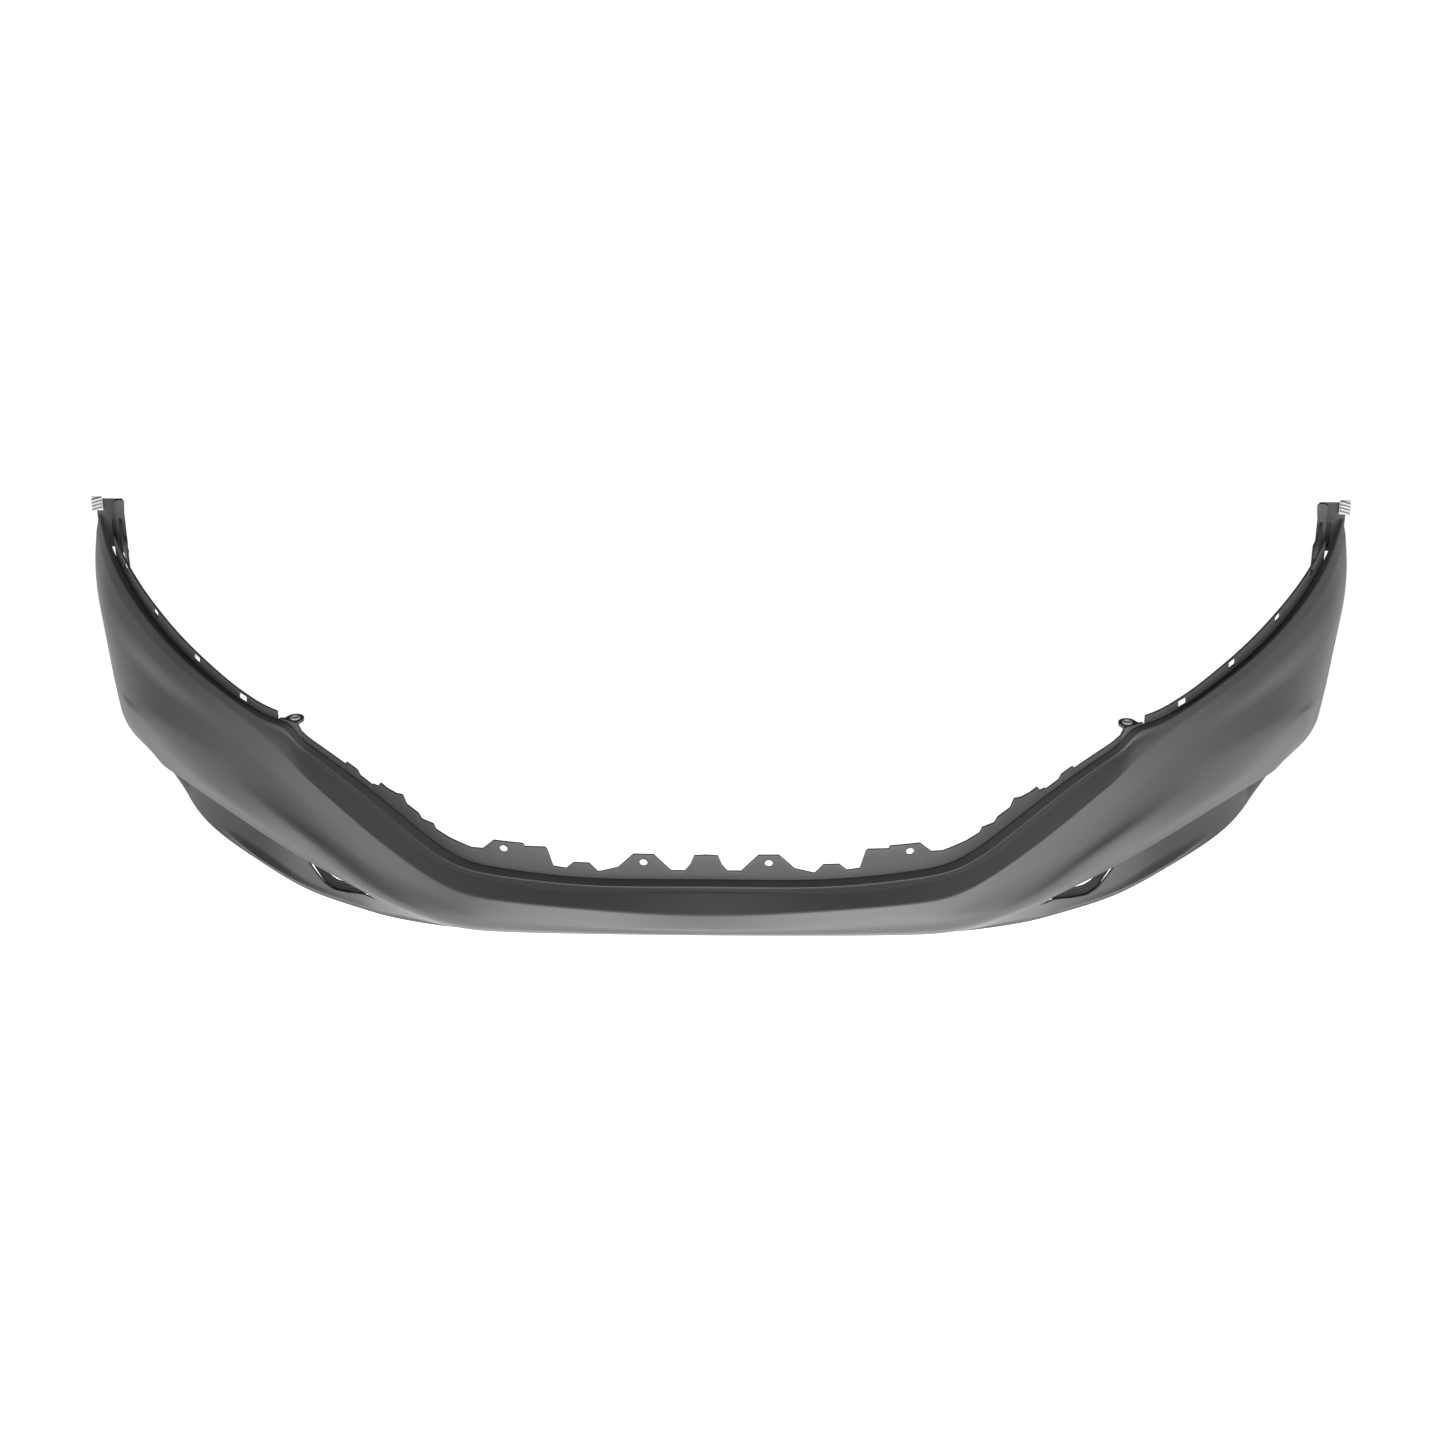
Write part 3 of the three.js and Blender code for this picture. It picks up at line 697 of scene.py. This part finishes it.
# End bracket: plates behind the skin's tip, seen from the front with x towards the middle and the
# tip of the lip at (0, 0). Each has an outline, a corner radius, and a front and a back behind the tip.
CROSS_WALL = (box_outline(-4, -52, 34, 21, 2.5), 7, 10)
SIDE_WALL = (box_outline(22.7, -54, 25.3, 20, 0.4), -0.5, 9.5)
POCKET = (box_outline(12.5, -48.5, 23.5, -5.5, 1.5), 9.5, 15.5)
FRONT_FLANGE = (round_outline([(22.6, -56), (37, -61), (33.5, -34), (33.5, -10), (36.5, 4),
                               (38, 22), (30, 23), (22.6, 20)], 4), -0.6, 2)
BLIND_SLOT = (box_outline(15, -45.5, 21, -8.5, 2), 5, 13)
CHANNEL_START = 10.36  # station
CHANNEL_OFFSET = 26  # from the lip to the channel's wall
CHANNEL_DEPTH = 36  # below the lip
CHANNEL_HEIGHT = 40
WAVE = 1.5  # of the upper edge


def bracket_plate(sign, outline, front, back):
    tip = lip(LAST * sign)[0]
    plate = prism("plate", outline, (back - front) / 2)
    middle = (tip[0], tip[1] + (front + back) / 2, tip[2])
    return turned(plate, middle, Vector((-sign, 0, 0)), Vector(UP), Vector((0, sign, 0)))


def bracket_channel(name, sign):
    """The channel's wall along the lip, with a gently waved upper edge."""
    t = np.linspace(CHANNEL_START, LAST, 60) * sign
    square = inboard(lip, t)
    face = lip(t) + square * CHANNEL_OFFSET
    rows = []
    for u in np.linspace(0, 1, 5):
        p = face.copy()
        dip = u * WAVE * (1 + np.sin(np.abs(t) * 18))
        p[:, 2] = lip(t)[:, 2] - CHANNEL_DEPTH + CHANNEL_HEIGHT * u - dip
        rows.append(p)
    near = np.stack(rows, 1)
    far = near + (square * RAIL_WALL)[:, None]
    return loop_mesh(name, np.concatenate([near, far[:, ::-1]], 1))


def end_bracket(name, sign):
    bracket = bracket_channel(name, sign)
    merge(bracket, [bracket_plate(sign, *plate) for plate in (CROSS_WALL, SIDE_WALL, POCKET, FRONT_FLANGE)])
    cut(bracket, [bracket_plate(sign, *BLIND_SLOT)])
    soften(bracket, 0.35)
    return bracket


# Fender clip: a comb of sloping ribs on a back plate.
RIB_HEIGHTS = (3.6, 8.6, 13.6, 18.6)
RIB_LEAN = 0.3


def fender_clip(name, sign):
    clip = prism(name, box_outline(-7.5, 2, 7.5, 4.4, 0.5), 10)
    clip.data.transform(Matrix.Translation((0, 0, 10 * MM)))
    ribs = []
    for z in RIB_HEIGHTS:
        rib = prism("rib", box_outline(-7.1, -4.9, 7.1, 3, 1.6), 0.9)
        lean = Matrix.Rotation(RIB_LEAN * sign, 4, "Y")
        rib.data.transform(Matrix.Translation((0, 0, z * MM)) @ lean)
        ribs.append(rib)
    merge(clip, ribs)
    soften(clip, 0.25)
    tip = lip(LAST * sign)[0]
    clip.data.transform(Matrix.Translation(place((tip[0] + sign, tip[1], tip[2] + 6))))
    return clip


# Fog lamp bezel: steps as (share of the way from the opening to the hole, depth behind the wall).
BEZEL_STEPS = [(0.28, 6), (0.32, 7.4), (0.6, 7.4), (0.64, 8.8), (1, 8.8), (1, 11.2), (0.55, 11.2),
               (0.2, 8.8)]
BEZEL_MARGIN = np.array((5.0, 6.0))  # how far the bezel reaches beyond the opening


def fog_bezel(name, sign):
    """A frame behind the opening that steps down to a smaller hole."""
    off = FOG_OUTLINE - FOG_CENTRE
    wide = FOG_CENTRE + off * (1 + BEZEL_MARGIN / np.linalg.norm(off, axis=1, keepdims=True))
    steps = [(wide, 8.8), (wide, 6)]
    steps += [(mix(FOG_OUTLINE, BEZEL_HOLE, share), depth) for share, depth in BEZEL_STEPS]
    rows = [on_wall(sign, outline[:, 0], outline[:, 1], depth) for outline, depth in steps]
    bezel = ring_mesh(name, np.stack(rows, 1))
    soften(bezel, 0.3, 1)
    return bezel


# Rivets through the hem and the rails behind it, at these stations, and their turned outline.
RIVETS = (0.55, 1.9, 3.4, 4.75, 5.6, 7.4, 8.6, 9.7)
RIVET_DROP = 7.0  # below the ledge
RIVET = [(0.01, -7.7), (1.7, -7.7), (2, -7.3), (2, 0), (4.3, 0), (4.5, 0.3), (4.2, 1.1), (3.0, 1.8),
         (1.4, 2.0), (1.2, 1.5), (0.01, 1.4)]


def rivet(name, t):
    inward = inboard(lip, t)[0]
    point = ledge(t)[0] + inward * (GAP + RAIL_WALL) - RIVET_DROP * UP
    return placed(lathe(name, RIVET, 32), point + inward * GAP, inward)


# The pieces. Those made twice are listed with their maker, slot, material and shading angle.
PAIRED = (
    ("corner_flange", corner_flange, "raw_plastic", RAW, 40),
    ("screw_lug", screw_lug, "primer_skin", PRIMER, 40),
    ("lug_collar", lug_collar, "clip_plastic", CLIP, 30),
    ("headlamp_rail", headlamp_rail, "raw_plastic", RAW, 40),
    ("end_bracket", end_bracket, "raw_plastic", RAW, 40),
    ("fender_clip", fender_clip, "clip_plastic", CLIP, 40),
    ("fog_bezel", fog_bezel, "bezel_plastic", BLACK_BEZEL_AND_SHADE, 40),
)
finish_piece(cover_skin(), ["cover_skin"], PRIMER, 50)
finish_piece(grille_rail(), ["grille_rail"], RAW)
for side, sign in SIDES:
    for part, make, slot, look, angle in PAIRED:
        node = f"{part}_{side}"
        finish_piece(make(f"{node}_piece", sign), [node], look, angle)
    for number, station in enumerate(RIVETS, 1):
        node = f"rivet_{side}_{number}"
        finish_piece(rivet(f"{node}_piece", station * sign), [node], PIN, 35)


# Studio: pale floor, soft lights, camera at the photograph's angle.
FLOOR_SIZE = 60
FLOOR_GREY = 0.15
FLOOR_GLOW = 1.0  # the floor's own light far from the part
FRONT_GLOW = 2.6  # and just in front of it
WORLD_LIGHT = 0.06


def glow_on_floor(mat, strength):
    """The floor shines more strongly just in front of the part and fades out around that."""
    nodes, links = mat.node_tree.nodes, mat.node_tree.links
    coords = nodes.new("ShaderNodeTexCoord")
    shift = nodes.new("ShaderNodeMapping")
    shift.inputs["Location"].default_value = (0, 0.85, 0)
    shift.inputs["Scale"].default_value = (0.6, 1.0, 1.0)
    reach = nodes.new("ShaderNodeVectorMath")
    reach.operation = "LENGTH"
    fade = nodes.new("ShaderNodeMapRange")
    fade.interpolation_type = "SMOOTHSTEP"
    fade.inputs["From Min"].default_value = 0.2
    fade.inputs["From Max"].default_value = 1.0
    fade.inputs["To Min"].default_value = FRONT_GLOW
    fade.inputs["To Max"].default_value = FLOOR_GLOW
    links.new(coords.outputs["Object"], shift.inputs["Vector"])
    links.new(shift.outputs["Vector"], reach.inputs[0])
    links.new(reach.outputs["Value"], fade.inputs["Value"])
    links.new(fade.outputs["Result"], strength)


def studio_floor():
    bpy.ops.mesh.primitive_plane_add(size=FLOOR_SIZE, location=(0, 0, CAD_BOX[0][2] - 0.0005))
    floor = bpy.context.object
    floor.name = "studio_floor"
    mat = bpy.data.materials.new("studio_floor")
    mat.use_nodes = True
    shader = mat.node_tree.nodes["Principled BSDF"]
    shader.inputs["Base Color"].default_value = (FLOOR_GREY, FLOOR_GREY, FLOOR_GREY, 1)
    shader.inputs["Roughness"].default_value = 0.9
    shader.inputs["Emission Color"].default_value = (1, 1, 1, 1)
    glow_on_floor(mat, shader.inputs["Emission Strength"])
    floor.data.materials.append(mat)


def studio_world():
    world = bpy.data.worlds.new("studio")
    bpy.context.scene.world = world
    world.use_nodes = True
    background = world.node_tree.nodes["Background"]
    background.inputs["Color"].default_value = (1, 1, 1, 1)
    background.inputs["Strength"].default_value = WORLD_LIGHT


def soft_box(name, location, target, width, height, power):
    """A rectangular light at a place, facing a target."""
    data = bpy.data.lights.new(name, "AREA")
    data.shape = "RECTANGLE"
    data.size = width
    data.size_y = height
    data.energy = power
    lamp = bpy.data.objects.new(name, data)
    lamp.location = location
    lamp.rotation_euler = (Vector(target) - Vector(location)).to_track_quat("-Z", "Y").to_euler()
    bpy.context.scene.collection.objects.link(lamp)


CAMERA_PLACE = Vector((0.1075, -3.1248, 1.7718))
YAW, PITCH, ROLL = -0.0298, 0.4712, -0.0081  # radians: to the right, down and about the line of sight
LENS = 65.34
SENSOR = 36.0


def add_camera():
    camera = bpy.data.objects.new("camera", bpy.data.cameras.new("camera"))
    bpy.context.scene.collection.objects.link(camera)
    camera.data.sensor_width = SENSOR
    camera.data.lens = LENS
    camera.data.clip_end = 100
    look = Vector((math.sin(YAW) * math.cos(PITCH), math.cos(YAW) * math.cos(PITCH), -math.sin(PITCH)))
    right = Vector((math.cos(YAW), -math.sin(YAW), 0))
    up = right.cross(look)
    turned_right = right * math.cos(ROLL) + up * math.sin(ROLL)
    turned_up = up * math.cos(ROLL) - right * math.sin(ROLL)
    turn = Matrix((turned_right, turned_up, -look)).transposed().to_4x4()
    camera.matrix_world = Matrix.Translation(CAMERA_PLACE) @ turn
    bpy.context.scene.camera = camera


studio_floor()
studio_world()
soft_box("front_low", (0.6, -4.2, 0.62), (0.1, 0, 0.2), 5.4, 1.15, 245)
soft_box("front_high", (0.8, -4.2, 2.1), (0.1, 0, 0.1), 3.6, 1.4, 22)
add_camera()
bpy.context.scene.view_settings.view_transform = "Standard"
